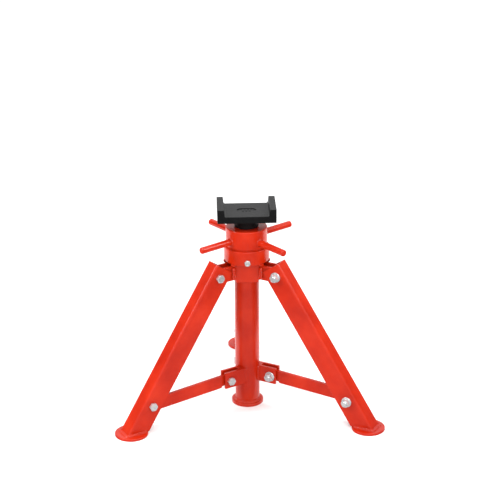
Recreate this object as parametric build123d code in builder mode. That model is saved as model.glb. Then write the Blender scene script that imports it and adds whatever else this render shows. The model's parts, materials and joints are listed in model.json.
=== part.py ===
from build123d import *
import os
from math import atan2, cos, degrees, hypot, radians, sin

# Folding tripod support stand with a screw spindle, in millimetres.
# Origin: centre of the post's base flange, on the floor. +Z is up.
# The legs stand at 90 degrees (rear), 210 degrees (left) and 330 degrees (right) about Z.
LEG_AZIMUTHS = {"rear": 90, "left": 210, "right": 330}
HUB_PLATE_AZIMUTHS = {"front": 270, "rear_right": 30, "rear_left": 150}
HALF_LEG_SPACING = 60.0

# Post: tube, base flange and collar ring
TUBE_RADIUS = 30.15
TUBE_WALL = 4.0
TUBE_TOP = 383.0
BASE_RADIUS = 39.0
BASE_THICKNESS = 8.0
RING_RADIUS = 54.9
RING_TOP = 417.6
RING_SPIGOT_DEPTH = 12.0
RING_BORE_RADIUS = 22.5
WASHER_RADIUS = 49.0
WASHER_THICKNESS = 2.5
WASHER_EDGE = 0.5

# Lift nut and its four handle bars
NUT_BOTTOM = RING_TOP + WASHER_THICKNESS
NUT_TOP = 465.9
NUT_RADIUS = 49.9
HANDLE_HEIGHT = 436.6
HANDLE_RADIUS = 8.1
HANDLE_INNER = 28.0
HANDLE_TIP = 138.6
HANDLE_START_ANGLE = 37.4
HANDLE_TIP_FILLET = 3.0

# Spindle: trapezoidal screw thread drawn as rings of the true pitch
SPINDLE_RADIUS = 22.0
SPINDLE_MINOR_RADIUS = 18.9
THREAD_PITCH = 6.0
THREAD_CREST = 2.2
THREAD_FLANK = 0.85
SPINDLE_BOTTOM = 20.0
SPINDLE_SHOULDER = 466.2
STROKE = 330.0
THREAD_CLEARANCE = 0.08
SPIGOT_RADIUS = 15.0
SPIGOT_TOP = 496.0
SPIGOT_GROOVE_RADIUS = 12.0
SPIGOT_GROOVE_BOTTOM = 473.5
SPIGOT_GROOVE_TOP = 482.5

# M8 screws with a dog point: the guide screw, in the collar ring, runs in the spindle's
# keyway, and the grub screw, in the saddle's boss, runs in the groove of the spigot
SCREW_RADIUS = 4.0
SCREW_FIT = 0.05
SHANK_SETBACK = 1.0
DOG_RADIUS = 3.25
DOG_GAP = 0.5
GUIDE_HEIGHT = 391.5
GUIDE_HEAD_FLATS = 13.0
GUIDE_HEAD_THICKNESS = 5.3
KEYWAY_WIDTH = 7.5
KEYWAY_FLOOR = 18.4
GRUB_HEIGHT = 478.0
GRUB_RECESS = 0.5
SOCKET_FLATS = 4.0
SOCKET_DEPTH = 3.0

# Saddle
SADDLE_WIDTH = 140.0
SADDLE_DEPTH = 98.0
SADDLE_THICKNESS = 16.6
SADDLE_TOP = 506.25
LUG_THICKNESS = 15.2
LUG_HEIGHT = 17.0
LUG_DRAFT = 2.2
LUG_ROOT_FILLET = 4.0
SADDLE_CORNER = 2.5
SADDLE_EDGE = 1.0
POCKET_LENGTH = 46.0
POCKET_WIDTH = 22.0
POCKET_DEPTH = 1.4
POCKET_RIB_WIDTH = 3.0
POCKET_RIB_LENGTH = 13.0
POCKET_RIB_SPACING = 8.0
BOSS_RADIUS = 29.0
BOSS_CHAMFER = 1.2

# Pivots in each leg's own vertical plane: distance from the axis, height
HUB_PIVOT = (88.0, 356.0)
BRACKET_PIVOT = (62.5, 79.5)
BRACE_PIVOT = (279.0, 68.5)

# Pressed channel legs and their feet
CHANNEL_WIDTH = 40.0
CHANNEL_WALL = 4.0
CHANNEL_BEND = 5.5
CHANNEL_BACK = 25.0
CHANNEL_MOUTH = 25.0
CHANNEL_TOP_OVERHANG = 25.4
CHANNEL_CUT_LENGTH = 480.0
FOOT_DISTANCE = 328.4
FOOT_RADIUS = 40.0
FOOT_THICKNESS = 6.0

# Hub plates: flat on the tube, bent 30 degrees outward into one ear at each end
PLATE_THICKNESS = 6.0
PLATE_BEND = 3.0
EAR_BEND_ANGLE = 30.0
HUB_PLATE_BOTTOM = 333.7
HUB_PLATE_HALF_WIDTH = 27.0
EAR_RADIUS = 16.0
EAR_TOP = 376.5
EAR_OUTER_OFFSET = 15.7

# Brace brackets and braces: each brace lies against its channel's cheek on the bolt heads' side
BRACKET_HALF_WIDTH = 12.0
BRACKET_END = 78.0
BRACKET_BOTTOM = 61.0
BRACKET_HEIGHT = 42.0
BRACKET_WEB_END = 36.0
BRACE_THICKNESS = 8.0
BRACE_HEIGHT = 32.0
HOOK_SEAT_RADIUS = 6.6
HOOK_MOUTH_RADIUS = 10.5
HOOK_SLOPE = 57.0
HOOK_LENGTH = 34.0

# M12 bolts, nuts and washers
BOLT_RADIUS = 6.0
BOLT_FLATS = 18.0
BOLT_HEAD = 7.5
NUT_THICKNESS = 10.0
FLAT_WASHER_RADIUS = 12.5
FLAT_WASHER = 2.5
THREAD_END = 3.0
SNUG_HOLE_RADIUS = 6.15
PIVOT_HOLE_RADIUS = 6.5
SPACER_RADIUS = 9.0
SIDE_CLEARANCE = 0.3
BRACE_OFFSET = CHANNEL_WIDTH / 2 - CHANNEL_WALL - SIDE_CLEARANCE - BRACE_THICKNESS / 2

# Rounding of cut steel edges, the clearance of a spigot, and how far a cut runs past a surface
CUT_EDGE = 0.8
SPIGOT_FIT = 0.1
OVERCUT = 1.0


def radial_plane(azimuth, offset=0.0):
    """Vertical plane of a leg: local x runs outward, local y up, offset to the nut side."""
    angle = radians(azimuth)
    nut_side = Vector(sin(angle), -cos(angle), 0)
    return Plane(origin=nut_side * offset, x_dir=(cos(angle), sin(angle), 0), z_dir=nut_side)


def save(piece, name):
    piece.label = name
    export_step(piece, f"parts/{name}.step")


def save_group(pieces, name):
    with BuildPart() as group:
        add(pieces)
    save(group.part, name)


def bored_disc(radius, bore, bottom, top, edge=0.0):
    with BuildPart() as disc:
        with BuildSketch(Plane.XY.offset(bottom)):
            Circle(radius)
            Circle(bore, mode=Mode.SUBTRACT)
        extrude(amount=top - bottom)
        if edge:
            rims = disc.edges().filter_by(GeomType.CIRCLE).sort_by(SortBy.RADIUS)[-2:]
            fillet(rims, edge)
    return disc.part


def hex_bolt(azimuth, centre, half_grip, shift=0.0):
    """Bolt along a leg's pivot axis: head on one side, thread end past the nut on the other."""
    with BuildPart() as bolt:
        with BuildSketch(radial_plane(azimuth, -shift - half_grip - BOLT_HEAD)):
            with Locations(centre):
                RegularPolygon(BOLT_FLATS / 2, 6, major_radius=False)
        extrude(amount=BOLT_HEAD)
        with BuildSketch(radial_plane(azimuth, -shift - half_grip)):
            with Locations(centre):
                Circle(BOLT_RADIUS)
        extrude(amount=2 * half_grip + FLAT_WASHER + NUT_THICKNESS + THREAD_END)
    return bolt.part


def hex_nut(azimuth, centre, half_grip, shift=0.0):
    with BuildPart() as nut:
        with BuildSketch(radial_plane(azimuth, half_grip - shift + FLAT_WASHER)):
            with Locations(centre):
                RegularPolygon(BOLT_FLATS / 2, 6, major_radius=False)
                Circle(BOLT_RADIUS, mode=Mode.SUBTRACT)
        extrude(amount=NUT_THICKNESS)
    return nut.part


def sleeve(azimuth, centre, start, length, radius):
    """Washer or spacer on a pivot bolt, from one offset towards the nut side."""
    with BuildPart() as ring:
        with BuildSketch(radial_plane(azimuth, start)):
            with Locations(centre):
                Circle(radius)
                Circle(SNUG_HOLE_RADIUS, mode=Mode.SUBTRACT)
        extrude(amount=length)
    return ring.part


def flat_washer(azimuth, centre, half_grip, shift=0.0):
    return sleeve(azimuth, centre, half_grip - shift, FLAT_WASHER, FLAT_WASHER_RADIUS)


def post_tube():
    return bored_disc(TUBE_RADIUS, TUBE_RADIUS - TUBE_WALL, BASE_THICKNESS, TUBE_TOP)


def base_flange():
    with BuildPart() as flange:
        with BuildSketch(Plane.XY):
            Circle(BASE_RADIUS)
        extrude(amount=BASE_THICKNESS)
        fillet(flange.edges().group_by(Axis.Z)[-1], 2 * CUT_EDGE)
        fillet(flange.edges().group_by(Axis.Z)[0], CUT_EDGE)
    return flange.part


def collar_ring():
    """Bearing ring on top of the tube, with a spigot inside the tube and the guide screw hole."""
    with BuildPart() as ring:
        with BuildSketch(Plane.XY.offset(TUBE_TOP)):
            Circle(RING_RADIUS)
        extrude(amount=RING_TOP - TUBE_TOP)
        fillet(ring.edges().group_by(Axis.Z)[-1], 2 * CUT_EDGE)
        fillet(ring.edges().group_by(Axis.Z)[0], 2 * CUT_EDGE)
        with BuildSketch(Plane.XY.offset(TUBE_TOP - RING_SPIGOT_DEPTH)):
            Circle(TUBE_RADIUS - TUBE_WALL - SPIGOT_FIT)
        extrude(amount=RING_SPIGOT_DEPTH)
        with BuildSketch(Plane.XY.offset(RING_TOP)):
            Circle(RING_BORE_RADIUS)
        extrude(amount=-(RING_TOP - TUBE_TOP + RING_SPIGOT_DEPTH), mode=Mode.SUBTRACT)
        with BuildSketch(Plane.XZ):
            with Locations((0, GUIDE_HEIGHT)):
                Circle(SCREW_RADIUS + SCREW_FIT)
        extrude(amount=RING_RADIUS + OVERCUT, mode=Mode.SUBTRACT)
    return ring.part


def guide_screw():
    """Hex-head screw whose dog point runs in the spindle's keyway."""
    shank_end = RING_BORE_RADIUS + SHANK_SETBACK
    dog_end = KEYWAY_FLOOR + DOG_GAP
    with BuildPart() as screw:
        with BuildSketch(Plane.XZ.offset(RING_RADIUS)):
            with Locations((0, GUIDE_HEIGHT)):
                RegularPolygon(GUIDE_HEAD_FLATS / 2, 6, major_radius=False)
        extrude(amount=GUIDE_HEAD_THICKNESS)
        with BuildSketch(Plane.XZ.offset(shank_end)):
            with Locations((0, GUIDE_HEIGHT)):
                Circle(SCREW_RADIUS)
        extrude(amount=RING_RADIUS - shank_end)
        with BuildSketch(Plane.XZ.offset(dog_end)):
            with Locations((0, GUIDE_HEIGHT)):
                Circle(DOG_RADIUS)
        extrude(amount=shank_end - dog_end)
    return screw.part


def hub_plate(azimuth):
    """Plate tangent to the tube, its two ends bent outward to lie beside the two leg planes."""
    facing = Plane.XY.rotated((0, 0, azimuth + 90))
    leg_azimuths = (azimuth - HALF_LEG_SPACING, azimuth + HALF_LEG_SPACING)
    inner = TUBE_RADIUS
    outer = TUBE_RADIUS + PLATE_THICKNESS
    ear_inner_offset = EAR_OUTER_OFFSET - PLATE_THICKNESS
    turn_cos = cos(radians(EAR_BEND_ANGLE))
    turn_sin = sin(radians(EAR_BEND_ANGLE))
    run = Vector(turn_cos, -turn_sin)
    side = Vector(-turn_sin, -turn_cos)
    ear_end = HUB_PIVOT[0] + EAR_RADIUS
    shoulder = EAR_RADIUS * cos(radians(45))
    shoulder_start = 2 * shoulder - (EAR_TOP - HUB_PIVOT[1])
    ear_bottom = HUB_PIVOT[1] - EAR_RADIUS
    outer_bend = (outer * turn_cos - EAR_OUTER_OFFSET) / turn_sin
    inner_bend = (inner * turn_cos - ear_inner_offset) / turn_sin
    outer_tip = run * ear_end + side * EAR_OUTER_OFFSET
    inner_tip = run * ear_end + side * ear_inner_offset
    with BuildPart() as plate:
        with BuildSketch(facing.offset(ear_bottom)):
            with BuildLine():
                Polyline(
                    (0, -inner), (inner_bend, -inner), (inner_tip.X, inner_tip.Y),
                    (outer_tip.X, outer_tip.Y), (outer_bend, -outer), (0, -outer), close=True,
                )
            make_face()
            mirror(about=Plane.YZ)
        extrude(amount=EAR_TOP - ear_bottom)
        upright = plate.edges().filter_by(Axis.Z)
        bends = upright.sort_by(lambda edge: hypot(edge.center().X, edge.center().Y))[0:4]
        fillet(bends, PLATE_BEND)
        with BuildSketch(facing.offset(HUB_PLATE_BOTTOM)):
            with Locations((0, -(inner + outer) / 2)):
                Rectangle(2 * HUB_PLATE_HALF_WIDTH, PLATE_THICKNESS)
        extrude(amount=TUBE_TOP - HUB_PLATE_BOTTOM)
        for leg_azimuth in leg_azimuths:
            with BuildSketch(radial_plane(leg_azimuth)):
                with Locations(HUB_PIVOT):
                    Rectangle(2 * EAR_RADIUS, 4 * EAR_RADIUS, align=(Align.MIN, Align.CENTER))
                    Circle(EAR_RADIUS, mode=Mode.SUBTRACT)
                    Polygon(
                        (0, 0), (shoulder, shoulder), (shoulder_start, EAR_TOP - HUB_PIVOT[1]),
                        (0, EAR_TOP - HUB_PIVOT[1]), align=None, mode=Mode.SUBTRACT,
                    )
            extrude(amount=EAR_OUTER_OFFSET + OVERCUT, both=True, mode=Mode.SUBTRACT)
        fillet(plate.edges(), CUT_EDGE)
        for leg_azimuth in leg_azimuths:
            with BuildSketch(radial_plane(leg_azimuth)):
                with Locations(HUB_PIVOT):
                    Circle(SNUG_HOLE_RADIUS)
            extrude(amount=EAR_OUTER_OFFSET + OVERCUT, both=True, mode=Mode.SUBTRACT)
    return plate.part


def brace_bracket(azimuth):
    """U-shaped bracket, its web cut to the tube and its two cheeks beside the brace."""
    inner_half_width = BRACKET_HALF_WIDTH - PLATE_THICKNESS
    plane = Plane.XY.rotated((0, 0, azimuth))
    with BuildPart() as bracket:
        with BuildSketch(plane.offset(BRACKET_BOTTOM)):
            with Locations((BRACKET_END / 2, BRACE_OFFSET)):
                Rectangle(BRACKET_END, 2 * BRACKET_HALF_WIDTH)
            with Locations((BRACKET_WEB_END, BRACE_OFFSET)):
                Rectangle(BRACKET_END, 2 * inner_half_width, align=(Align.MIN, Align.CENTER),
                          mode=Mode.SUBTRACT)
            Circle(TUBE_RADIUS, mode=Mode.SUBTRACT)
        extrude(amount=BRACKET_HEIGHT)
        fillet(bracket.edges().filter_by(GeomType.LINE), CUT_EDGE)
        with BuildSketch(radial_plane(azimuth, -BRACE_OFFSET)):
            with Locations(BRACKET_PIVOT):
                Circle(SNUG_HOLE_RADIUS)
        extrude(amount=BRACKET_HALF_WIDTH + OVERCUT, both=True, mode=Mode.SUBTRACT)
    return bracket.part


def leg_channel(azimuth):
    """Channel with its mouth towards the post, square at the top, cut level on the foot."""
    angle = radians(azimuth)
    outward = Vector(cos(angle), sin(angle), 0)
    tilt = atan2(BRACE_PIVOT[0] - HUB_PIVOT[0], HUB_PIVOT[1] - BRACE_PIVOT[1])
    along = outward * -sin(tilt) + Vector(0, 0, cos(tilt))
    back = outward * cos(tilt) + Vector(0, 0, sin(tilt))
    pivot = outward * HUB_PIVOT[0] + Vector(0, 0, HUB_PIVOT[1])
    section = Plane(origin=pivot + along * CHANNEL_TOP_OVERHANG, x_dir=back, z_dir=along)
    with BuildPart() as leg:
        with BuildSketch(section) as profile:
            with Locations((CHANNEL_BACK, 0)):
                Rectangle(CHANNEL_BACK + CHANNEL_MOUTH, CHANNEL_WIDTH, align=(Align.MAX, Align.CENTER))
            fillet(profile.vertices().group_by(Axis.X)[-1], CHANNEL_BEND)
            with BuildSketch(mode=Mode.PRIVATE) as hollow:
                with Locations((CHANNEL_BACK - CHANNEL_WALL, 0)):
                    Rectangle(CHANNEL_BACK + CHANNEL_MOUTH, CHANNEL_WIDTH - 2 * CHANNEL_WALL,
                              align=(Align.MAX, Align.CENTER))
                fillet(hollow.vertices().group_by(Axis.X)[-1], CHANNEL_BEND - CHANNEL_WALL)
            add(hollow.sketch, mode=Mode.SUBTRACT)
        extrude(amount=-CHANNEL_CUT_LENGTH)
        split(bisect_by=Plane.XY.offset(FOOT_THICKNESS), keep=Keep.TOP)
        fillet(leg.edges(), CUT_EDGE)
        with BuildSketch(radial_plane(azimuth)):
            with Locations(HUB_PIVOT, BRACE_PIVOT):
                Circle(PIVOT_HOLE_RADIUS)
        extrude(amount=CHANNEL_WIDTH, both=True, mode=Mode.SUBTRACT)
    return leg.part


def foot_plate(azimuth):
    angle = radians(azimuth)
    with BuildPart() as foot:
        with BuildSketch(Plane.XY):
            with Locations((FOOT_DISTANCE * cos(angle), FOOT_DISTANCE * sin(angle))):
                Circle(FOOT_RADIUS)
        extrude(amount=FOOT_THICKNESS)
        fillet(foot.edges().group_by(Axis.Z)[-1], 2 * CUT_EDGE)
        fillet(foot.edges().group_by(Axis.Z)[0], CUT_EDGE)
    return foot.part


def brace(azimuth):
    """Flat bar, pivoted on the leg and hooked from above over the bracket's bolt."""
    rise = BRACKET_PIVOT[1] - BRACE_PIVOT[1]
    reach = BRACE_PIVOT[0] - BRACKET_PIVOT[0]
    slope = degrees(atan2(-rise, reach))
    middle = ((BRACKET_PIVOT[0] + BRACE_PIVOT[0]) / 2, (BRACKET_PIVOT[1] + BRACE_PIVOT[1]) / 2)
    mouth = Plane(origin=(BRACKET_PIVOT[0], BRACKET_PIVOT[1], 0)).rotated((0, 0, -HOOK_SLOPE))
    with BuildPart() as bar:
        with BuildSketch(radial_plane(azimuth, -BRACE_OFFSET)):
            with Locations(middle):
                SlotCenterToCenter(hypot(rise, reach), BRACE_HEIGHT, rotation=slope)
            with Locations(BRACE_PIVOT):
                Circle(PIVOT_HOLE_RADIUS, mode=Mode.SUBTRACT)
            with Locations(BRACKET_PIVOT):
                Circle(HOOK_SEAT_RADIUS, mode=Mode.SUBTRACT)
            with BuildLine(mode=Mode.PRIVATE) as outline:
                Polyline(
                    [
                        mouth.from_local_coords(Vector(along, across, 0))
                        for along, across in (
                            (0, HOOK_SEAT_RADIUS), (HOOK_LENGTH, HOOK_MOUTH_RADIUS),
                            (HOOK_LENGTH, -HOOK_MOUTH_RADIUS), (0, -HOOK_SEAT_RADIUS),
                        )
                    ],
                    close=True,
                )
            make_face(outline.line.edges(), mode=Mode.SUBTRACT)
        extrude(amount=BRACE_THICKNESS / 2, both=True)
        fillet(bar.faces().filter_by(radial_plane(azimuth)).edges(), CUT_EDGE)
    return bar.part


def lift_nut():
    """Round nut with four blind cross holes for the handle bars."""
    with BuildPart() as nut:
        with BuildSketch(Plane.XY.offset(NUT_BOTTOM)):
            Circle(NUT_RADIUS)
        extrude(amount=NUT_TOP - NUT_BOTTOM)
        fillet(nut.edges().group_by(Axis.Z)[-1], 3 * CUT_EDGE)
        fillet(nut.edges().group_by(Axis.Z)[0], 2 * CUT_EDGE)
        with BuildSketch(Plane.XY.offset(NUT_BOTTOM)):
            Circle(SPINDLE_RADIUS + THREAD_CLEARANCE)
        extrude(amount=NUT_TOP - NUT_BOTTOM, mode=Mode.SUBTRACT)
        for index in range(4):
            with BuildSketch(handle_plane(index, HANDLE_INNER)):
                Circle(HANDLE_RADIUS)
            extrude(amount=NUT_RADIUS, mode=Mode.SUBTRACT)
    return nut.part


def handle_plane(index, distance):
    angle = radians(HANDLE_START_ANGLE + 90 * index)
    outward = Vector(cos(angle), sin(angle), 0)
    return Plane(origin=outward * distance + Vector(0, 0, HANDLE_HEIGHT), z_dir=outward)


def nut_handle(index):
    with BuildPart() as handle:
        with BuildSketch(handle_plane(index, HANDLE_INNER)):
            Circle(HANDLE_RADIUS)
        extrude(amount=HANDLE_TIP - HANDLE_INNER)
        tip = handle.edges().sort_by(handle_plane(index, 0).location.z_axis)[-1]
        fillet(tip, HANDLE_TIP_FILLET)
    return handle.part


def spindle():
    """Threaded bar with a keyway down its front and a grooved spigot for the saddle."""
    turns = int((SPINDLE_SHOULDER - SPINDLE_BOTTOM) // THREAD_PITCH)
    groove = THREAD_PITCH - THREAD_CREST
    outline = [(0, SPINDLE_BOTTOM), (SPINDLE_MINOR_RADIUS, SPINDLE_BOTTOM)]
    for turn in range(turns):
        start = SPINDLE_BOTTOM + turn * THREAD_PITCH + groove
        outline.append((SPINDLE_MINOR_RADIUS, start - THREAD_FLANK))
        outline.append((SPINDLE_RADIUS, start))
        outline.append((SPINDLE_RADIUS, start + THREAD_CREST))
        outline.append((SPINDLE_MINOR_RADIUS, start + THREAD_CREST + THREAD_FLANK))
    outline.pop()
    outline += [
        (SPINDLE_RADIUS, SPINDLE_SHOULDER), (SPIGOT_RADIUS, SPINDLE_SHOULDER),
        (SPIGOT_RADIUS, SPIGOT_GROOVE_BOTTOM), (SPIGOT_GROOVE_RADIUS, SPIGOT_GROOVE_BOTTOM),
        (SPIGOT_GROOVE_RADIUS, SPIGOT_GROOVE_TOP), (SPIGOT_RADIUS, SPIGOT_GROOVE_TOP),
        (SPIGOT_RADIUS, SPIGOT_TOP), (0, SPIGOT_TOP),
    ]
    keyway_bottom = GUIDE_HEIGHT - STROKE - DOG_RADIUS - SIDE_CLEARANCE
    keyway_top = SPINDLE_SHOULDER - THREAD_PITCH
    with BuildPart() as screw:
        with BuildSketch(Plane.XZ):
            with BuildLine():
                Polyline(outline, close=True)
            make_face()
        revolve(axis=Axis.Z)
        with BuildSketch(Plane.XZ.offset(KEYWAY_FLOOR)):
            with Locations((0, (keyway_bottom + keyway_top) / 2)):
                Rectangle(KEYWAY_WIDTH, keyway_top - keyway_bottom)
        extrude(amount=SPINDLE_RADIUS, mode=Mode.SUBTRACT)
    return screw.part


def saddle():
    """Plate with a lug at each end and a round boss that turns on the spindle's spigot."""
    plate_bottom = SADDLE_TOP - SADDLE_THICKNESS
    half_width = SADDLE_WIDTH / 2
    lug_top = SADDLE_TOP + LUG_HEIGHT
    lug_root = half_width - LUG_THICKNESS - LUG_DRAFT
    with BuildPart() as head:
        with BuildSketch(Plane.XZ) as profile:
            with BuildLine():
                Polyline(
                    (0, plate_bottom), (half_width, plate_bottom), (half_width, lug_top),
                    (half_width - LUG_THICKNESS, lug_top), (lug_root, SADDLE_TOP), (0, SADDLE_TOP),
                    close=True,
                )
            make_face()
            fillet(profile.vertices().sort_by_distance((lug_root, SADDLE_TOP))[0], LUG_ROOT_FILLET)
            mirror(about=Plane.YZ)
        extrude(amount=SADDLE_DEPTH / 2, both=True)
        fillet(head.edges().filter_by(Axis.Z), SADDLE_CORNER)
        fillet(head.edges(), SADDLE_EDGE)
        with BuildSketch(Plane.XY.offset(SADDLE_TOP)):
            SlotOverall(POCKET_LENGTH, POCKET_WIDTH)
            with GridLocations(POCKET_RIB_SPACING, 0, 3, 1):
                Rectangle(POCKET_RIB_WIDTH, POCKET_RIB_LENGTH, mode=Mode.SUBTRACT)
        extrude(amount=-POCKET_DEPTH, mode=Mode.SUBTRACT)
        with BuildSketch(Plane.XZ):
            with BuildLine():
                Polyline(
                    (0, SPINDLE_SHOULDER), (BOSS_RADIUS - BOSS_CHAMFER, SPINDLE_SHOULDER),
                    (BOSS_RADIUS, SPINDLE_SHOULDER + BOSS_CHAMFER), (BOSS_RADIUS, plate_bottom),
                    (0, plate_bottom), close=True,
                )
            make_face()
        revolve(axis=Axis.Z)
        with BuildSketch(Plane.XY.offset(SPINDLE_SHOULDER)):
            Circle(SPIGOT_RADIUS + THREAD_CLEARANCE)
        extrude(amount=SPIGOT_TOP - SPINDLE_SHOULDER + OVERCUT, mode=Mode.SUBTRACT)
        with BuildSketch(Plane.XZ):
            with Locations((0, GRUB_HEIGHT)):
                Circle(SCREW_RADIUS + SCREW_FIT)
        extrude(amount=-BOSS_RADIUS - OVERCUT, mode=Mode.SUBTRACT)
    return head.part


def saddle_grub_screw():
    """Grub screw in the boss; its dog point sits in the spigot's groove and keeps the saddle on."""
    outer_end = BOSS_RADIUS - GRUB_RECESS
    shank_end = SPIGOT_RADIUS + SHANK_SETBACK
    dog_end = SPIGOT_GROOVE_RADIUS + DOG_GAP
    with BuildPart() as screw:
        with BuildSketch(Plane.XZ.offset(-outer_end)):
            with Locations((0, GRUB_HEIGHT)):
                Circle(SCREW_RADIUS)
        extrude(amount=outer_end - shank_end)
        with BuildSketch(Plane.XZ.offset(-shank_end)):
            with Locations((0, GRUB_HEIGHT)):
                Circle(DOG_RADIUS)
        extrude(amount=shank_end - dog_end)
        with BuildSketch(Plane.XZ.offset(-outer_end)):
            with Locations((0, GRUB_HEIGHT)):
                RegularPolygon(SOCKET_FLATS / 2, 6, major_radius=False)
        extrude(amount=SOCKET_DEPTH, mode=Mode.SUBTRACT)
    return screw.part


def save_post():
    save(post_tube(), "post_tube")
    save(base_flange(), "base_flange")
    save(collar_ring(), "collar_ring")
    save(guide_screw(), "guide_screw")
    save(bored_disc(WASHER_RADIUS, RING_BORE_RADIUS, RING_TOP, NUT_BOTTOM, WASHER_EDGE), "thrust_washer")
    for place, azimuth in HUB_PLATE_AZIMUTHS.items():
        save(hub_plate(azimuth), f"hub_plate_{place}")
    for place, azimuth in LEG_AZIMUTHS.items():
        save(brace_bracket(azimuth), f"brace_bracket_{place}")
    for name, *grip in (
        ("hub", HUB_PIVOT, CHANNEL_WIDTH / 2),
        ("bracket", BRACKET_PIVOT, BRACKET_HALF_WIDTH, BRACE_OFFSET),
    ):
        azimuths = LEG_AZIMUTHS.values()
        save_group([hex_bolt(azimuth, *grip) for azimuth in azimuths], f"{name}_bolts")
        save_group([hex_nut(azimuth, *grip) for azimuth in azimuths], f"{name}_nuts")
        save_group([flat_washer(azimuth, *grip) for azimuth in azimuths], f"{name}_washers")


def save_leg(place, azimuth):
    half_grip = CHANNEL_WIDTH / 2
    spacer_start = BRACE_THICKNESS / 2 + SIDE_CLEARANCE - BRACE_OFFSET
    spacer_length = half_grip - CHANNEL_WALL - spacer_start
    save(leg_channel(azimuth), f"leg_{place}")
    save(foot_plate(azimuth), f"foot_plate_{place}")
    save(hex_bolt(azimuth, BRACE_PIVOT, half_grip), f"leg_bolt_{place}")
    save(hex_nut(azimuth, BRACE_PIVOT, half_grip), f"leg_nut_{place}")
    save(flat_washer(azimuth, BRACE_PIVOT, half_grip), f"leg_washer_{place}")
    spacer = sleeve(azimuth, BRACE_PIVOT, spacer_start, spacer_length, SPACER_RADIUS)
    save(spacer, f"brace_spacer_{place}")
    save(brace(azimuth), f"brace_{place}")


def save_lift():
    save(lift_nut(), "lift_nut")
    for index in range(4):
        save(nut_handle(index), f"nut_handle_{index + 1}")
    save(spindle(), "spindle")
    save(saddle(), "saddle")
    save(saddle_grub_screw(), "saddle_grub_screw")


os.makedirs("parts", exist_ok=True)
save_post()
for place, azimuth in LEG_AZIMUTHS.items():
    save_leg(place, azimuth)
save_lift()
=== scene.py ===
import json
from math import cos, pi, radians, sin, tan

import bmesh
import bpy
from mathutils import Matrix, Vector, noise


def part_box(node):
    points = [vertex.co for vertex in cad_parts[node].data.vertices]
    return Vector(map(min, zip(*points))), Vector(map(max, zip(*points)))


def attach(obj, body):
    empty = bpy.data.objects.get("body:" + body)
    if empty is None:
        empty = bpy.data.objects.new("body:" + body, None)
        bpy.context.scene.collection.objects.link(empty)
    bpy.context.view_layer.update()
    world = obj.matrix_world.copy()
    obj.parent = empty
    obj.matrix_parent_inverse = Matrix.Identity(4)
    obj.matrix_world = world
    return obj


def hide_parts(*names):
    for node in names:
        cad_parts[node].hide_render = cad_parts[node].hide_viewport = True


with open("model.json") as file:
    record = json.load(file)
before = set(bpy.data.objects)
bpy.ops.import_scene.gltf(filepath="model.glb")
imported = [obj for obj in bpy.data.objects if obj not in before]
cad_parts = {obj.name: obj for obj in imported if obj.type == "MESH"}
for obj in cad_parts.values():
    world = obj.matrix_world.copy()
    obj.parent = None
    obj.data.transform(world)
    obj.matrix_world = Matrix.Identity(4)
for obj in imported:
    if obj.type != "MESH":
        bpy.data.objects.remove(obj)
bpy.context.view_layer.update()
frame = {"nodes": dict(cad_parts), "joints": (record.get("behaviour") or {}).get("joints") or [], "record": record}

# Folding tripod support stand, in metres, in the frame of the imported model. The CAD keeps
# the tubes, plates, channels, nut and saddle. This script gives them their paint and plating,
# and adds the threads, the hexagon fasteners and the weld beads.
LEGS = ("rear", "left", "right")
JOINTS = {joint["name"]: joint for joint in frame["joints"]}
BEHAVIOUR = frame["record"]["behaviour"]
UP = Vector((0, 0, 1))

# M12 pivot bolts. A dish is the fraction of the head's face and the depth at each of its rings.
STEPS = 72
BOLT_FLATS = 0.018
BOLT_HEAD = 0.00746
BOLT_DISH = ((0.55, 0.0003), (0.8, 0.0001))
BOLT_RADIUS = 0.006
BOLT_PITCH = 0.00175
BOLT_THREAD_DEPTH = 0.0009
THREAD_LENGTH = 0.017
HEX_CHAMFER = 0.94
HEX_EDGE = 0.0003
HEX_EDGE_ANGLE = radians(40)
HEAD_FACE_HEIGHT = 0.0003
HEAD_FACE_STEP = 0.0001
NUT_SINK = 1.08
NUT_SINK_DEPTH = 0.001
WASHER_BORE = 0.00615
WASHER_EDGE = 0.0004

# How far each leg's nuts and bolt heads happen to be turned, in degrees
NUT_TURNS = dict(zip(LEGS, (11, 47, 29)))
HEAD_TURNS = dict(zip(LEGS, (8, 37, 22)))

# M8 guide screw
GUIDE_FLATS = 0.013
GUIDE_RADIUS = 0.004
GUIDE_PITCH = 0.00125
GUIDE_THREAD_DEPTH = 0.0006
GUIDE_NECK = 0.001
GUIDE_SHANK = 0.030
GUIDE_DOG_RADIUS = 0.00325
GUIDE_CHAMFER = 0.0004
GUIDE_DISH = ((0.7, 0.0002), (0.5, 0.0005))
GUIDE_TURN = 14

# Spindle
SPINDLE_MINOR_RADIUS = 0.0189
THREAD_CREST = 0.0022
THREAD_FLANK = 0.00085
THREAD_STEPS = 72
KEYWAY_WIDTH = 0.0075
KEYWAY_FLOOR = 0.0184
SPIGOT_RADIUS = 0.015
SPIGOT_GROOVE_RADIUS = 0.012
SPIGOT_GROOVE = (0.0073, 0.0163)
SPIGOT_SINK = 0.001
SPINDLE_SHARP = 30
SPIGOT_CHAMFER = 0.001

# Weld beads
BEAD_STEP = 0.0005
RIPPLE = 0.0030
RIPPLE_DEPTH = 0.34
RIPPLE_LAG = 0.45
RIPPLE_ROUND = 0.6
BEAD_BULGE = 0.20
BEAD_TAPER = 0.45
BEAD_UNEVEN = 0.12
BEAD_DRIFT = 260
BEAD_ROOT = 0.0004
BEAD_SECTION = 7
BEAD_SHARP = 60
CHANNEL_BEND = 0.0055
FOOT_BEAD = 0.0048
FLANGE_BEAD = 0.0050
BRACKET_BEAD = 0.0042
BRACKET_BEAD_INSET = 0.001
HANDLE_BEAD = 0.0022

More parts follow.
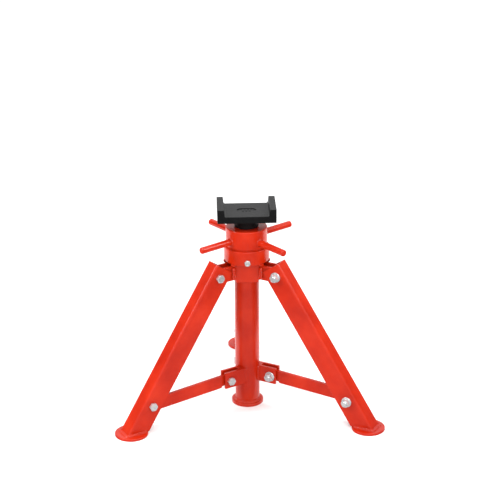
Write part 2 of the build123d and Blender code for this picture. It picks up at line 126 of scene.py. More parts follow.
# Beads of the hub plates, which face these azimuths, and of the ears bent back from them
HUB_PLATES = {"front": 270, "rear_right": 30, "rear_left": 150}
PLATE_BEAD = 0.0036
PLATE_BEAD_LENGTH = 0.028
PLATE_BEAD_ANGLE = 52
PLATE_BEAD_INSET = 0.002
PLATE_EDGE = 0.0008
PLATE_TOP_BAND = 0.0005
EAR_ANGLE = radians(60)
EAR_BEAD = 0.0085
EAR_BEAD_END = 0.0545
EAR_OFFSET = 0.0157
EAR_START = 0.010
BEND_BEAD = 0.0075
BEND_BEAD_RISE = 0.002
BEND_BEAD_ROOT = 0.001

# Studio: area lights with their place, size in metres and power in watts, and plain cards
WORLD_STRENGTH = 1.06
LIGHT_TARGET = (0, 0, 0.3)
LIGHTS = {
    "front_softbox": ((0.5, -2.3, 2.1), (1.0, 1.0), 22),
    "top_softbox": ((0.3, 0.2, 2.6), (2.2, 2.2), 24),
    "left_strip": ((-1.6, -0.5, 1.5), (0.4, 0.9), 26),
    "right_strip": ((1.6, -0.5, 1.5), (0.4, 0.9), 15),
}
FLOOR_RADIUS = 30
# Upright dark cards at the sides, seen only in reflections: they paint dark reflections down the sides of the
# round parts
CARD_AZIMUTHS = {"left_card": -84, "right_card": 84}
CARD_DISTANCE = 1.8
CARD_SIZE = (2.6, 1.7)
CARD_RISE = 0.15
CARD_SHADE = 0.02
SHEET_HEIGHT = 0.002
# Cards just above the floor, seen only in reflections: the paler near one paints a light reflection band down the
# tube, and the dark ones beyond paint dark reflections on the front and side faces
SHEETS = {
    "near_sheet": ((0, -0.50), (0.9, 0.9), 0.24),
    "far_sheet": ((0, -1.80), (0.9, 1.7), 0.03),
    "left_sheet": ((-1.45, -1.20), (2.0, 2.9), 0.02),
    "right_sheet": ((1.45, -1.20), (2.0, 2.9), 0.02),
}

# Camera: a long lens, slightly above the stand and almost square to its front
CAMERA_TARGET = Vector((0, 0, 0.40327))
CAMERA_SHIFT = 0.0082
CAMERA_DISTANCE = 3.8274
CAMERA_PITCH = radians(21.775)
CAMERA_YAW = radians(2.126)
CAMERA_ROLL = radians(-0.351)
SENSOR_WIDTH = 36
FOCAL_LENGTH = 114.6


# ---------------------------------------------------------------- materials

def new_material(name):
    material = bpy.data.materials.new(name)
    material.use_nodes = True
    tree = material.node_tree
    tree.nodes.clear()
    shader = tree.nodes.new("ShaderNodeBsdfPrincipled")
    output = tree.nodes.new("ShaderNodeOutputMaterial")
    tree.links.new(shader.outputs["BSDF"], output.inputs["Surface"])
    return material, tree, shader


def noise_node(tree, scale, detail=2.0, roughness=0.5, stretch=(1, 1, 1)):
    """Noise over the piece's own coordinates, which are metres in the frame."""
    place = tree.nodes.new("ShaderNodeTexCoord")
    mapping = tree.nodes.new("ShaderNodeMapping")
    mapping.inputs["Scale"].default_value = stretch
    texture = tree.nodes.new("ShaderNodeTexNoise")
    texture.inputs["Scale"].default_value = scale
    texture.inputs["Detail"].default_value = detail
    texture.inputs["Roughness"].default_value = roughness
    tree.links.new(place.outputs["Object"], mapping.inputs["Vector"])
    tree.links.new(mapping.outputs["Vector"], texture.inputs["Vector"])
    return texture.outputs["Fac"]


def ramp(tree, factor, stops):
    node = tree.nodes.new("ShaderNodeValToRGB")
    while len(node.color_ramp.elements) < len(stops):
        node.color_ramp.elements.new(0.5)
    for element, (position, colour) in zip(node.color_ramp.elements, stops):
        element.position = position
        element.color = (*colour, 1)
    tree.links.new(factor, node.inputs["Fac"])
    return node.outputs["Color"]


def spread(tree, factor, low, high):
    node = tree.nodes.new("ShaderNodeMapRange")
    node.inputs["From Min"].default_value = 0.3
    node.inputs["From Max"].default_value = 0.7
    node.inputs["To Min"].default_value = low
    node.inputs["To Max"].default_value = high
    tree.links.new(factor, node.inputs["Value"])
    return node.outputs["Result"]


def bumps(tree, shader, layers):
    """Chain of bump layers, each a height with its strength and its depth in metres."""
    normal = None
    for height, strength, depth in layers:
        node = tree.nodes.new("ShaderNodeBump")
        node.inputs["Strength"].default_value = strength
        node.inputs["Distance"].default_value = depth
        tree.links.new(height, node.inputs["Height"])
        if normal:
            tree.links.new(normal, node.inputs["Normal"])
        normal = node.outputs["Normal"]
    tree.links.new(normal, shader.inputs["Normal"])


def red_enamel():
    """Sprayed gloss enamel: slow colour drift, orange peel and a little dust in the gloss."""
    material, tree, shader = new_material("red_enamel")
    drift = noise_node(tree, 14.0, 3.0)
    peel = noise_node(tree, 420.0, 1.0)
    waves = noise_node(tree, 60.0, 2.0)
    dust = noise_node(tree, 1500.0, 2.0)
    colour = ramp(tree, drift, (
        (0.32, (0.375, 0.0112, 0.0014)), (0.50, (0.442, 0.0156, 0.0022)),
        (0.68, (0.500, 0.0210, 0.0034)),
    ))
    tree.links.new(colour, shader.inputs["Base Color"])
    tree.links.new(spread(tree, dust, 0.18, 0.27), shader.inputs["Roughness"])
    shader.inputs["Specular IOR Level"].default_value = 0.29
    shader.inputs["Coat Weight"].default_value = 0.10
    shader.inputs["Coat Roughness"].default_value = 0.08
    bumps(tree, shader, ((waves, 0.10, 0.0010), (peel, 0.14, 0.00025)))
    return material


def black_enamel():
    """Satin black paint over a sand-cast surface."""
    material, tree, shader = new_material("black_enamel")
    drift = noise_node(tree, 30.0, 3.0)
    grain = noise_node(tree, 900.0, 4.0, 0.6)
    lumps = noise_node(tree, 160.0, 2.0)
    colour = ramp(tree, drift, (
        (0.30, (0.002, 0.002, 0.0023)), (0.55, (0.0035, 0.0035, 0.0039)),
        (0.75, (0.006, 0.006, 0.0066)),
    ))
    tree.links.new(colour, shader.inputs["Base Color"])
    tree.links.new(spread(tree, grain, 0.38, 0.50), shader.inputs["Roughness"])
    shader.inputs["Specular IOR Level"].default_value = 0.22
    bumps(tree, shader, ((lumps, 0.25, 0.0010), (grain, 0.30, 0.0004)))
    return material


def bright_zinc():
    """Zinc plate with a faint passivation tint and a fine satin grain."""
    material, tree, shader = new_material("bright_zinc")
    tint = noise_node(tree, 240.0, 3.0)
    grain = noise_node(tree, 2600.0, 3.0, 0.6)
    colour = ramp(tree, tint, (
        (0.30, (0.60, 0.62, 0.66)), (0.52, (0.74, 0.75, 0.76)), (0.74, (0.77, 0.74, 0.67)),
    ))
    tree.links.new(colour, shader.inputs["Base Color"])
    tree.links.new(spread(tree, grain, 0.14, 0.26), shader.inputs["Roughness"])
    shader.inputs["Metallic"].default_value = 0.68
    bumps(tree, shader, ((grain, 0.20, 0.0001),))
    return material


def machined_steel():
    """Turned and oiled bare steel, with tool marks round its axis."""
    material, tree, shader = new_material("machined_steel")
    marks = noise_node(tree, 9.0, 3.0, 0.7, (1, 1, 260))
    stain = noise_node(tree, 45.0, 4.0)
    colour = ramp(tree, stain, (
        (0.28, (0.42, 0.40, 0.36)), (0.52, (0.56, 0.54, 0.49)), (0.75, (0.66, 0.64, 0.60)),
    ))
    tree.links.new(colour, shader.inputs["Base Color"])
    tree.links.new(spread(tree, stain, 0.30, 0.46), shader.inputs["Roughness"])
    shader.inputs["Metallic"].default_value = 1.0
    bumps(tree, shader, ((marks, 0.25, 0.00015),))
    return material


def black_oxide():
    """Dull black finish of a hardened set screw."""
    material, tree, shader = new_material("black_oxide")
    grain = noise_node(tree, 1400.0, 3.0)
    colour = ramp(tree, grain, ((0.35, (0.018, 0.018, 0.020)), (0.70, (0.050, 0.050, 0.055))))
    tree.links.new(colour, shader.inputs["Base Color"])
    tree.links.new(spread(tree, grain, 0.34, 0.50), shader.inputs["Roughness"])
    shader.inputs["Metallic"].default_value = 0.8
    bumps(tree, shader, ((grain, 0.20, 0.0001),))
    return material


MATERIALS = {
    "red_paint": red_enamel(), "black_paint": black_enamel(), "bright_zinc": bright_zinc(),
    "machined_steel": machined_steel(), "black_oxide": black_oxide(),
}
for subpart in frame["record"]["subparts"]:
    for material_slot in frame["nodes"][subpart["node"]].material_slots:
        material_slot.material = MATERIALS[subpart["material_slot"]]


# ---------------------------------------------------------------- places in the frame

def leg_axes(place):
    """Unit vectors of a leg's own plane: outward, towards its nuts, and up."""
    pivot = JOINTS[f"leg_{place}_fold"]["pos_m"]
    outward = Vector((pivot[0], pivot[1], 0)).normalized()
    return outward, Vector((outward.y, -outward.x, 0)), UP


def beside_leg(node, place):
    """Points of a node that lie nearest to one leg."""
    def nearest(point):
        return max(LEGS, key=lambda leg: point.dot(leg_axes(leg)[0]))
    return [v.co for v in frame["nodes"][node].data.vertices if nearest(v.co) == place]


def extents(points, axes):
    """Lowest and highest value of the points along each axis."""
    return [(min(p.dot(axis) for p in points), max(p.dot(axis) for p in points)) for axis in axes]


def middle(pair):
    return (pair[0] + pair[1]) / 2


def axes_matrix(x_dir, y_dir, z_dir, origin):
    matrix = Matrix((x_dir, y_dir, z_dir)).transposed().to_4x4()
    matrix.translation = origin
    return matrix


# ---------------------------------------------------------------- mesh helpers

def make_piece(name, bm, body, slot, replaced=(), sharp=35):
    bmesh.ops.recalc_face_normals(bm, faces=bm.faces)
    mesh = bpy.data.meshes.new(name)
    bm.to_mesh(mesh)
    bm.free()
    mesh.shade_smooth()
    mesh.set_sharp_from_angle(angle=radians(sharp))
    mesh.materials.append(MATERIALS[slot])
    piece = bpy.data.objects.new(name, mesh)
    bpy.context.scene.collection.objects.link(piece)
    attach(piece, body)
    if replaced:
        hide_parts(*replaced)
    return piece


def circle(radius, height):
    """Ring of a turned form."""
    return lambda angle: (radius, height)


def hexagon(flats, height, chamfer=0.0):
    """Ring of a hexagon. With a chamfer of 1 or -1 its corners drop or rise from the height."""
    def ring(angle):
        radius = flats / 2 / cos((angle + pi / 6) % (pi / 3) - pi / 6)
        drop = max(0.0, radius - HEX_CHAMFER * flats / 2) * tan(pi / 6)
        return radius, height - chamfer * drop
    return ring


def turn(bm, matrix, rings, hollow=False, steps=STEPS):
    """Closed form through rings about local z. A hollow form joins its last ring to its first."""
    loops = []
    for ring in rings:
        angles = [2 * pi * step / steps for step in range(steps)]
        polar = [(angle, *ring(angle)) for angle in angles]
        loops.append([bm.verts.new(matrix @ Vector((r * cos(a), r * sin(a), z))) for a, r, z in polar])
    pairs = list(zip(loops, loops[1:]))
    if hollow:
        pairs.append((loops[-1], loops[0]))
    else:
        bm.faces.new(loops[0][::-1])
        bm.faces.new(loops[-1])
    for lower, upper in pairs:
        for step in range(steps):
            after = (step + 1) % steps
            bm.faces.new((lower[step], lower[after], upper[after], upper[step]))


def thread_rings(start, end, radius, depth, pitch):
    """Rounded thread crests between two heights, with a chamfered end."""
    turns = int((end - start) / pitch)
    rings = []
    for index in range(turns):
        height = start + index * pitch
        rings += [circle(radius - depth, height), circle(radius - depth / 4, height + 0.3 * pitch)]
        rings += [circle(radius, height + 0.45 * pitch), circle(radius, height + 0.55 * pitch)]
        rings += [circle(radius - depth / 4, height + 0.7 * pitch)]
    rings.append(circle(radius - depth, start + turns * pitch))
    rings.append(circle(radius - 1.2 * depth, end))
    return rings


# ---------------------------------------------------------------- fasteners

def bolt_places(node, place):
    """Centre line of a pivot bolt beside one leg, towards the nut side, and its two ends."""
    axes = leg_axes(place)
    outward, side, up = axes
    reach, along, height = extents(beside_leg(node, place), axes)
    origin = outward * middle(reach) + up * middle(height)
    return axes_matrix(outward, side.cross(outward), side, origin), along


def turned_by(matrix, degrees):
    return matrix @ Matrix.Rotation(radians(degrees), 4, "Z")


def add_bolt(bm, matrix, head, end):
    """Hexagon head with a washer face and a dished top, plain shank, thread and chamfered end."""
    under = head + BOLT_HEAD
    face = HEX_CHAMFER * BOLT_FLATS / 2
    face_top = under - HEAD_FACE_HEIGHT
    turn(bm, matrix, (
        *(circle(face * part, head + depth) for part, depth in BOLT_DISH), circle(face, head),
        hexagon(BOLT_FLATS, head, -1), hexagon(BOLT_FLATS, face_top - HEAD_FACE_STEP),
        circle(face, face_top), circle(face, under), circle(BOLT_RADIUS, under),
        *thread_rings(end - THREAD_LENGTH, end, BOLT_RADIUS, BOLT_THREAD_DEPTH, BOLT_PITCH),
    ))


def add_nut(bm, matrix, low, high):
    """Hexagon nut chamfered on both faces and countersunk round its bore."""
    face = HEX_CHAMFER * BOLT_FLATS / 2
    bore = BOLT_RADIUS - BOLT_THREAD_DEPTH
    sink = BOLT_RADIUS * NUT_SINK
    turn(bm, matrix, (
        circle(bore, low + NUT_SINK_DEPTH), circle(sink, low), circle(face, low),
        hexagon(BOLT_FLATS, low, -1), hexagon(BOLT_FLATS, high, 1), circle(face, high),
        circle(sink, high), circle(bore, high - NUT_SINK_DEPTH),
    ), hollow=True)


def add_washer(bm, matrix, low, high, radius):
    """Flat washer with broken edges."""
    edge = WASHER_EDGE
    turn(bm, matrix, (
        circle(WASHER_BORE, low + edge), circle(WASHER_BORE + edge, low), circle(radius - edge, low),
        circle(radius, low + edge), circle(radius, high - edge), circle(radius - edge, high),
        circle(WASHER_BORE + edge, high), circle(WASHER_BORE, high - edge),
    ), hollow=True)


def soften(bm):
    """Small bevels on the sharp edges."""
    edges = [edge for edge in bm.edges if edge.is_manifold and edge.calc_face_angle() > HEX_EDGE_ANGLE]
    bmesh.ops.bevel(bm, geom=edges, offset=HEX_EDGE, segments=2, affect="EDGES", clamp_overlap=True)


def fasteners(prefix, nodes, places, body):
    """Bolts, nuts and washers of one pivot at some of the legs, as three pieces."""
    bolt_node, nut_node, washer_node = nodes
    bolts, nuts, washers = bmesh.new(), bmesh.new(), bmesh.new()
    for place in places:
        matrix, ends = bolt_places(bolt_node, place)
        add_bolt(bolts, turned_by(matrix, HEAD_TURNS[place]), *ends)
        low, high = extents(beside_leg(nut_node, place), leg_axes(place))[1]
        add_nut(nuts, turned_by(matrix, NUT_TURNS[place]), low, high)
        reach, faces, _ = extents(beside_leg(washer_node, place), leg_axes(place))
        add_washer(washers, matrix, *faces, (reach[1] - reach[0]) / 2)
    soften(bolts)
    soften(nuts)
    make_piece(f"{prefix}_bolts_hex", bolts, body, "bright_zinc", (bolt_node,))
    make_piece(f"{prefix}_nuts_hex", nuts, body, "bright_zinc", (nut_node,))
    make_piece(f"{prefix}_washers_flat", washers, body, "bright_zinc", (washer_node,))


for pivot in ("hub", "bracket"):
    fasteners(pivot, (f"{pivot}_bolts", f"{pivot}_nuts", f"{pivot}_washers"), LEGS, "post")
for leg in LEGS:
    leg_nodes = (f"leg_bolt_{leg}", f"leg_nut_{leg}", f"leg_washer_{leg}")
    fasteners(f"leg_{leg}", leg_nodes, (leg,), f"leg_{leg}_group")


def guide_screw():
    """Hexagon-head screw in the ring's front, with a dog point."""
    low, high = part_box("guide_screw")
    ring_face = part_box("collar_ring")[0].y
    origin = Vector((0, 0, middle((low.z, high.z))))
    matrix = axes_matrix(Vector((1, 0, 0)), UP, Vector((0, -1, 0)), origin)
    head, under = -low.y, -ring_face
    face = HEX_CHAMFER * GUIDE_FLATS / 2
    dog_start = under - GUIDE_SHANK
    thread = (dog_start + GUIDE_CHAMFER, under - GUIDE_NECK)
    bm = bmesh.new()
    turn(bm, turned_by(matrix, GUIDE_TURN), (
        circle(GUIDE_DOG_RADIUS - GUIDE_CHAMFER, -high.y),
        circle(GUIDE_DOG_RADIUS, -high.y + GUIDE_CHAMFER), circle(GUIDE_DOG_RADIUS, dog_start),
        *thread_rings(*thread, GUIDE_RADIUS, GUIDE_THREAD_DEPTH, GUIDE_PITCH),
        circle(GUIDE_RADIUS, under), circle(face, under),
        hexagon(GUIDE_FLATS, under + HEAD_FACE_HEIGHT), hexagon(GUIDE_FLATS, head, 1),
        circle(face, head), *(circle(face * part, head - depth) for part, depth in GUIDE_DISH),
    ))
    soften(bm)
    make_piece("guide_screw_hex", bm, "post", "bright_zinc", ("guide_screw",))


guide_screw()


# ---------------------------------------------------------------- spindle

def threaded_bar(low, high, radius, lead):
    """Closed bar between two heights with a right-hand trapezoidal thread."""
    root = lead - THREAD_CREST - 2 * THREAD_FLANK
    section = (
        (SPINDLE_MINOR_RADIUS, 0.0), (SPINDLE_MINOR_RADIUS, root),
        (radius, root + THREAD_FLANK), (radius, root + THREAD_FLANK + THREAD_CREST),
    )
    turns = int((high - low) / lead) + 3
    bm = bmesh.new()
    rows = []
    for step in range(turns * THREAD_STEPS + 1):
        angle = 2 * pi * step / THREAD_STEPS
        base = low - lead + lead * (step / THREAD_STEPS - 1)
        rows.append([bm.verts.new((r * cos(angle), r * sin(angle), base + z)) for r, z in section])
    for row, after in zip(rows, rows[1:]):
        for lower in range(len(section) - 1):
            bm.faces.new((row[lower], after[lower], after[lower + 1], row[lower + 1]))
    next_turn = rows[THREAD_STEPS:]
    for row, after, above, above_after in zip(rows, rows[1:], next_turn, next_turn[1:]):
        bm.faces.new((row[-1], after[-1], above_after[0], above[0]))
    for height, direction in ((low, -1), (high, 1)):
        geometry = bm.verts[:] + bm.edges[:] + bm.faces[:]
        cut = bmesh.ops.bisect_plane(
            bm, geom=geometry, plane_co=(0, 0, height), plane_no=(0, 0, direction), clear_outer=True,
        )
        rim = [item for item in cut["geom_cut"] if isinstance(item, bmesh.types.BMEdge)]
        bmesh.ops.edgeloop_fill(bm, edges=rim)
    return bm


def keyway_form(radius, top):
    """Box that cuts the keyway, as long as the stroke needs above the guide screw's place."""
    guide_low, guide_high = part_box("guide_screw")
    stroke = JOINTS["spindle_slide"]["range_m"][1]
    bottom = middle((guide_low.z, guide_high.z)) - stroke - KEYWAY_WIDTH / 2
    size = Matrix.Diagonal((KEYWAY_WIDTH, radius, top - bottom, 1))
    centre = Vector((0, -KEYWAY_FLOOR - radius / 2, middle((bottom, top))))
    form = bmesh.new()
    bmesh.ops.create_cube(form, size=1, matrix=Matrix.Translation(centre) @ size)
    return form


def cut_with(piece, form):
    """Cuts the piece by a closed form, and removes the form."""
    mesh = bpy.data.meshes.new("cutter")
    form.to_mesh(mesh)
    form.free()
    cutter = bpy.data.objects.new("cutter", mesh)
    bpy.context.scene.collection.objects.link(cutter)
    modifier = piece.modifiers.new("cut", "BOOLEAN")
    modifier.operation = "DIFFERENCE"
    modifier.solver = "EXACT"
    modifier.object = cutter
    bpy.context.view_layer.update()
    evaluated = piece.evaluated_get(bpy.context.evaluated_depsgraph_get())
    result = bpy.data.meshes.new_from_object(evaluated)
    piece.modifiers.clear()
    piece.data = result
    bpy.data.objects.remove(cutter)


def spindle_screw():
    """Threaded bar with a keyway down its front and a grooved spigot for the saddle."""
    low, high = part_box("spindle")
    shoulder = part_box("saddle")[0].z
    ratios = {coupling["joint"]: coupling["ratio"] for coupling in BEHAVIOUR["couplings"]}
    lead = 2 * pi * ratios["spindle_slide"]
    bar = threaded_bar(low.z, shoulder, high.x, lead)
    spindle = make_piece(
        "spindle_screw", bar, "spindle_group", "machined_steel", ("spindle",), SPINDLE_SHARP,
    )
    cut_with(spindle, keyway_form(high.x, shoulder - lead))
    bm = bmesh.new()
    bm.from_mesh(spindle.data)
    groove_low, groove_high = (shoulder + height for height in SPIGOT_GROOVE)
    turn(bm, Matrix(), (
        circle(SPIGOT_RADIUS, shoulder - SPIGOT_SINK), circle(SPIGOT_RADIUS, groove_low),
        circle(SPIGOT_GROOVE_RADIUS, groove_low), circle(SPIGOT_GROOVE_RADIUS, groove_high),
        circle(SPIGOT_RADIUS, groove_high), circle(SPIGOT_RADIUS, high.z - SPIGOT_CHAMFER),
        circle(SPIGOT_RADIUS - SPIGOT_CHAMFER, high.z),
    ))
    bm.to_mesh(spindle.data)
    bm.free()
    spindle.data.shade_smooth()
    spindle.data.set_sharp_from_angle(angle=radians(SPINDLE_SHARP))


spindle_screw()


# ---------------------------------------------------------------- weld beads

def arc_steps(length):
    return max(2, int(length / BEAD_STEP))


def straight(start, end, floor, wall):
    """Bead path along a line: points with the two surface directions at each."""
    steps = arc_steps((end - start).length)
    return [(start.lerp(end, step / steps), floor, wall) for step in range(steps + 1)]


def add_bead(bm, path, size, closed=False, seed=0.0):
    """Rippled fillet bead along a path, between the surfaces that lie along its two directions."""
    distance = 0.0
    loops = []
    previous = path[0][0]
    length = sum((b[0] - a[0]).length for a, b in zip(path, path[1:]))
    for point, floor, wall in path:
        distance += (point - previous).length
        previous = point
        taper = 1.0 if closed else min(1.0, BEAD_TAPER + min(distance, length - distance) / size)
        uneven = 1 + BEAD_UNEVEN * noise.noise(Vector((distance * BEAD_DRIFT, seed, 0)))
        loop = [bm.verts.new(point - (floor + wall) * BEAD_ROOT)]
        for index in range(BEAD_SECTION):
            turned = pi / 2 * index / (BEAD_SECTION - 1)
            arched = sin(2 * turned)
            lump = abs(sin(pi * (distance / RIPPLE + RIPPLE_LAG * arched))) ** RIPPLE_ROUND
            spread_out = size * taper * uneven / (cos(turned) + sin(turned))
            spread_out *= 1 + arched * (BEAD_BULGE + RIPPLE_DEPTH * (lump - 0.5))
            offset = floor * cos(turned) + wall * sin(turned)
            loop.append(bm.verts.new(point + offset * spread_out))
        loops.append(loop)
    pairs = list(zip(loops, loops[1:]))
    if closed:
        pairs.append((loops[-1], loops[0]))
    else:
        bm.faces.new(loops[0][::-1])
        bm.faces.new(loops[-1])
    count = BEAD_SECTION + 1
    for here, after in pairs:
        for index in range(count):
            across = (index + 1) % count
            bm.faces.new((here[index], here[across], after[across], after[index]))


def foot_bead(place):
    """Bead round the outside of a leg's channel where it stands on its foot plate."""
    outward, side, up = leg_axes(place)
    pivot = Vector(JOINTS[f"leg_{place}_fold"]["pos_m"])
    lower = Vector(JOINTS[f"brace_{place}_fold"]["pos_m"])
    along = (pivot - lower).normalized()
    normal = side.cross(along)
    if normal.dot(outward) < 0:
        normal.negate()
    lean = normal.dot(outward)
    points = [v.co for v in frame["nodes"][f"leg_{place}"].data.vertices]
    back = extents([p - pivot for p in points], (normal,))[0][1]
    half_width = extents(points, (side,))[0][1]
    foot_low, foot_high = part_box(f"foot_plate_{place}")
    foot_centre = (foot_low + foot_high) / 2
    foot_radius = (foot_high.x - foot_low.x) / 2
    centre = pivot + along * ((foot_high.z - pivot.z) / along.z)
    back_edge = centre.dot(outward) + back / lean
    mouth_edge = foot_centre.dot(outward) - (foot_radius ** 2 - half_width ** 2) ** 0.5 + FOOT_BEAD / 2
    bend = CHANNEL_BEND / lean
    ground = UP * foot_high.z

    def at(reach, across):
        return outward * reach + side * across + ground

    def corner(sign):
        """Path round one bend of the channel, from its cheek to its back."""
        steps = arc_steps(CHANNEL_BEND * pi / 2)
        points = []
        for step in range(1, steps):
            angle = pi / 2 * step / steps
            reach = back_edge - bend + bend * sin(angle)
            across = sign * (half_width - CHANNEL_BEND + CHANNEL_BEND * cos(angle))
            floor = (outward * sin(angle) + side * sign * cos(angle)).normalized()
            wall = (along * sin(angle) + up * cos(angle)).normalized()
            points.append((at(reach, across), floor, wall))
        return points

    flat = half_width - CHANNEL_BEND
    path = straight(at(mouth_edge, half_width), at(back_edge - bend, half_width), side, up)
    path += corner(1)
    path += straight(at(back_edge, flat), at(back_edge, -flat), outward, along)
    path += corner(-1)[::-1]
    path += straight(at(back_edge - bend, -half_width), at(mouth_edge, -half_width), -side, up)
    bm = bmesh.new()
    add_bead(bm, path, FOOT_BEAD, seed=LEGS.index(place) * 7.0)
    make_piece(f"foot_weld_{place}", bm, f"leg_{place}_group", "red_paint", sharp=BEAD_SHARP)


def bracket_beads():
    """Upright beads where each bracket's cheeks meet the tube."""
    tube_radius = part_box("post_tube")[1].x
    bm = bmesh.new()
    for place in LEGS:
        outward, side, up = leg_axes(place)
        points = [v.co for v in frame["nodes"][f"brace_bracket_{place}"].data.vertices]
        cheeks, (low, high) = extents(points, (side, up))
        for sign, cheek in zip((-1, 1), cheeks):
            reach = (tube_radius ** 2 - cheek ** 2) ** 0.5
            root = outward * reach + side * cheek
            floor = (side * reach - outward * cheek) * sign / tube_radius
            start, end = root + up * (low + BRACKET_BEAD_INSET), root + up * (high - BRACKET_BEAD_INSET)
            path = straight(start, end, floor, outward)
            add_bead(bm, path, BRACKET_BEAD, seed=sign * 3.0 + LEGS.index(place))
    make_piece("bracket_welds", bm, "post", "red_paint", sharp=BEAD_SHARP)


def hub_plate_beads():
    """Beads under each hub plate on the tube, along its top edge, and round to its ears."""
    tube_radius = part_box("post_tube")[1].x
    bm = bmesh.new()
    for index, (place, azimuth) in enumerate(HUB_PLATES.items()):
        facing = Vector((cos(radians(azimuth)), sin(radians(azimuth)), 0))
        across = Vector((-facing.y, facing.x, 0))
        points = [v.co for v in frame["nodes"][f"hub_plate_{place}"].data.vertices]
        low, high = extents(points, (UP,))[0]
        top = [p for p in points if p.z > high - PLATE_TOP_BAND]
        face = extents(top, (facing,))[0][1] + PLATE_EDGE
        half = extents(top, (across,))[0][1]
        add_bead(bm, under_plate_path(tube_radius, azimuth, low), PLATE_BEAD, seed=index * 5.0)
        centre = facing * face + UP * high
        reach = across * (half - PLATE_BEAD_INSET)
        top_path = straight(centre - reach, centre + reach, facing, -UP)
        add_bead(bm, top_path, PLATE_BEAD, seed=index * 5.0 + 2)
        ear_low = min(p.z for p in points if abs(p.dot(across)) > half + EAR_START)
        for sign in (1, -1):
            seed = index + sign * 3.0
            add_bead(bm, ear_path(facing, across * sign, face, half, high), EAR_BEAD, seed=seed)
            bend = bend_path(facing, across * sign, face, ear_low + BEND_BEAD_RISE, high - EAR_BEAD)
            add_bead(bm, bend, BEND_BEAD, seed=seed + 9.0)
    make_piece("hub_plate_welds", bm, "post", "red_paint", sharp=BEAD_SHARP)


def under_plate_path(tube_radius, azimuth, height):
    """Path on the tube below a hub plate, across its middle."""
    steps = arc_steps(PLATE_BEAD_LENGTH)
    path = []
    for step in range(steps + 1):
        angle = radians(azimuth + PLATE_BEAD_ANGLE * (step / steps - 0.5))
        outward = Vector((cos(angle), sin(angle), 0))
        path.append((outward * tube_radius + UP * height, outward, -UP))
    return path


def ear_corner(facing, across, face):
    """Outside corner between a plate and its ear, with the ear's run and its outward normal."""
    outward = facing * cos(EAR_ANGLE) + across * sin(EAR_ANGLE)
    away = facing * sin(EAR_ANGLE) - across * cos(EAR_ANGLE)
    bend = (face * sin(EAR_ANGLE) - EAR_OFFSET) / cos(EAR_ANGLE)
    return facing * face + across * bend, outward, away


def ear_path(facing, across, face, half, height):
    """Path along the outside of a plate's ear where it passes under the ring."""
    corner, outward, away = ear_corner(facing, across, face)
    start = facing * face + across * (half - PLATE_BEAD_INSET)
    tip = outward * EAR_BEAD_END + away * EAR_OFFSET
    path = straight(start + UP * height, corner + UP * height, facing, -UP)
    return path + straight(corner + UP * height, tip + UP * height, away, -UP)[1:]


def bend_path(facing, across, face, low, high):
    """Upright path in the corner between a plate and its ear."""
    corner, outward, away = ear_corner(facing, across, face)
    rise = (facing + away).normalized()
    root = corner - rise * BEND_BEAD_ROOT
    floor = (outward + rise).normalized()
    wall = (rise - across).normalized()
    return straight(root + UP * low, root + UP * high, floor, wall)


def handle_beads():
    """Bead round each handle bar where it enters the nut."""
    nut_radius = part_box("lift_nut")[1].x
    bm = bmesh.new()
    for index in range(4):
        points = [v.co for v in frame["nodes"][f"nut_handle_{index + 1}"].data.vertices]
        centre = sum(points, Vector()) / len(points)
        outward = Vector((centre.x, centre.y, 0)).normalized()
        across = Vector((-outward.y, outward.x, 0))
        low, high = extents(points, (UP,))[0]
        radius = (high - low) / 2
        steps = arc_steps(2 * pi * radius)
        path = []
        for step in range(steps):
            angle = 2 * pi * step / steps
            away = across * cos(angle) + UP * sin(angle)
            reach = (nut_radius ** 2 - (radius * cos(angle)) ** 2) ** 0.5
            slope = (away - outward * (radius * cos(angle) ** 2 / nut_radius)).normalized()
            path.append((outward * reach + away * radius + UP * middle((low, high)), slope, outward))
        add_bead(bm, path, HANDLE_BEAD, closed=True, seed=index * 4.0)
    make_piece("handle_welds", bm, "lift_nut_group", "red_paint", sharp=BEAD_SHARP)


def flange_bead():
    """Bead round the tube where it stands on the base flange."""
    tube_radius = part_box("post_tube")[1].x
    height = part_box("base_flange")[1].z
    steps = arc_steps(2 * pi * tube_radius)
    path = []
    for step in range(steps):
        angle = 2 * pi * step / steps
        outward = Vector((cos(angle), sin(angle), 0))
        path.append((outward * tube_radius + UP * height, outward, UP))
    bm = bmesh.new()
    add_bead(bm, path, FLANGE_BEAD, closed=True)
    make_piece("base_flange_weld", bm, "post", "red_paint", sharp=BEAD_SHARP)


for leg in LEGS:
    foot_bead(leg)
bracket_beads()
hub_plate_beads()
handle_beads()
flange_bead()


# ---------------------------------------------------------------- floor, light and camera

def plain_sheet(name, bm, material_name, shade, roughness, specular):
    """Flat studio piece in one plain shade, which is not part of the stand."""
    mesh = bpy.data.meshes.new(name)
    bm.to_mesh(mesh)
    bm.free()
    material, tree, shader = new_material(material_name)
    shader.inputs["Base Color"].default_value = (shade, shade, shade, 1)
    shader.inputs["Roughness"].default_value = roughness
    shader.inputs["Specular IOR Level"].default_value = specular
    mesh.materials.append(material)
    sheet = bpy.data.objects.new(name, mesh)
    bpy.context.scene.collection.objects.link(sheet)
    return sheet


def floor():
    bm = bmesh.new()
    bmesh.ops.create_circle(bm, cap_ends=True, segments=96, radius=FLOOR_RADIUS)
    plain_sheet("floor", bm, "pale_floor", 0.95, 0.9, 0.1)


def soft_light(name, position, size, power):
    light = bpy.data.lights.new(name, "AREA")
    light.shape = "RECTANGLE"
    light.size, light.size_y = size
    light.energy = power
    lamp = bpy.data.objects.new(name, light)
    lamp.location = position
    lamp.rotation_mode = "QUATERNION"
    aim = Vector(LIGHT_TARGET) - Vector(position)
    lamp.rotation_quaternion = aim.to_track_quat("-Z", "Y")
    lamp.visible_camera = False
    bpy.context.scene.collection.objects.link(lamp)


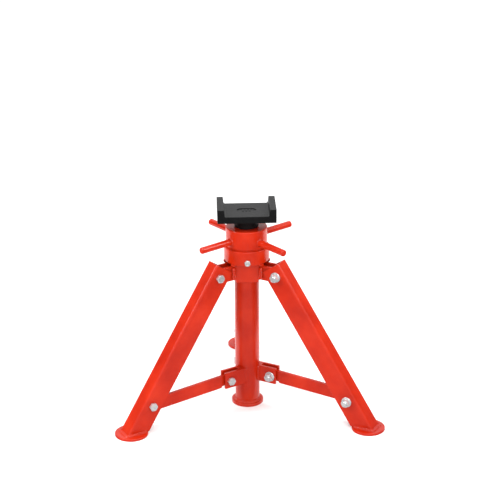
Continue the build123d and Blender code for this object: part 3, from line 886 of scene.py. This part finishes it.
def card(name, matrix, size, shade):
    """Plain card that shows in reflections and in nothing else."""
    bm = bmesh.new()
    bmesh.ops.create_grid(bm, x_segments=1, y_segments=1, size=0.5)
    bmesh.ops.scale(bm, vec=(*size, 1), verts=bm.verts)
    sheet = plain_sheet(name, bm, name, shade, 1.0, 0.0)
    sheet.matrix_world = matrix
    sheet.visible_camera = False
    sheet.visible_diffuse = False
    sheet.visible_shadow = False


def upright_card(name, azimuth):
    away = Vector((sin(radians(azimuth)), -cos(radians(azimuth)), 0))
    across = Vector((-away.y, away.x, 0))
    origin = away * CARD_DISTANCE + UP * (CARD_SIZE[1] / 2 + CARD_RISE)
    card(name, axes_matrix(across, UP, away, origin), CARD_SIZE, CARD_SHADE)


def studio():
    """White surroundings, four soft lights, and the dark cards that shape the reflections."""
    world = bpy.data.worlds.new("studio")
    world.use_nodes = True
    background = world.node_tree.nodes["Background"]
    background.inputs["Color"].default_value = (1, 1, 1, 1)
    background.inputs["Strength"].default_value = WORLD_STRENGTH
    bpy.context.scene.world = world
    for name, (position, size, power) in LIGHTS.items():
        soft_light(name, position, size, power)
    for name, azimuth in CARD_AZIMUTHS.items():
        upright_card(name, azimuth)
    for name, (position, size, shade) in SHEETS.items():
        card(name, Matrix.Translation((*position, SHEET_HEIGHT)), size, shade)
    bpy.context.scene.view_settings.view_transform = "Standard"


def camera():
    forward = Vector((
        sin(CAMERA_YAW) * cos(CAMERA_PITCH), cos(CAMERA_YAW) * cos(CAMERA_PITCH), -sin(CAMERA_PITCH),
    ))
    right = Vector((cos(CAMERA_YAW), -sin(CAMERA_YAW), 0))
    top = right.cross(forward)
    target = CAMERA_TARGET + right * CAMERA_SHIFT
    data = bpy.data.cameras.new("camera")
    data.sensor_width = SENSOR_WIDTH
    data.lens = FOCAL_LENGTH
    data.clip_end = 100
    eye = bpy.data.objects.new("camera", data)
    rolled_right = right * cos(CAMERA_ROLL) + top * sin(CAMERA_ROLL)
    rolled_top = top * cos(CAMERA_ROLL) - right * sin(CAMERA_ROLL)
    place = target - forward * CAMERA_DISTANCE
    eye.matrix_world = axes_matrix(rolled_right, rolled_top, -forward, place)
    bpy.context.scene.collection.objects.link(eye)
    bpy.context.scene.camera = eye


floor()
studio()
camera()
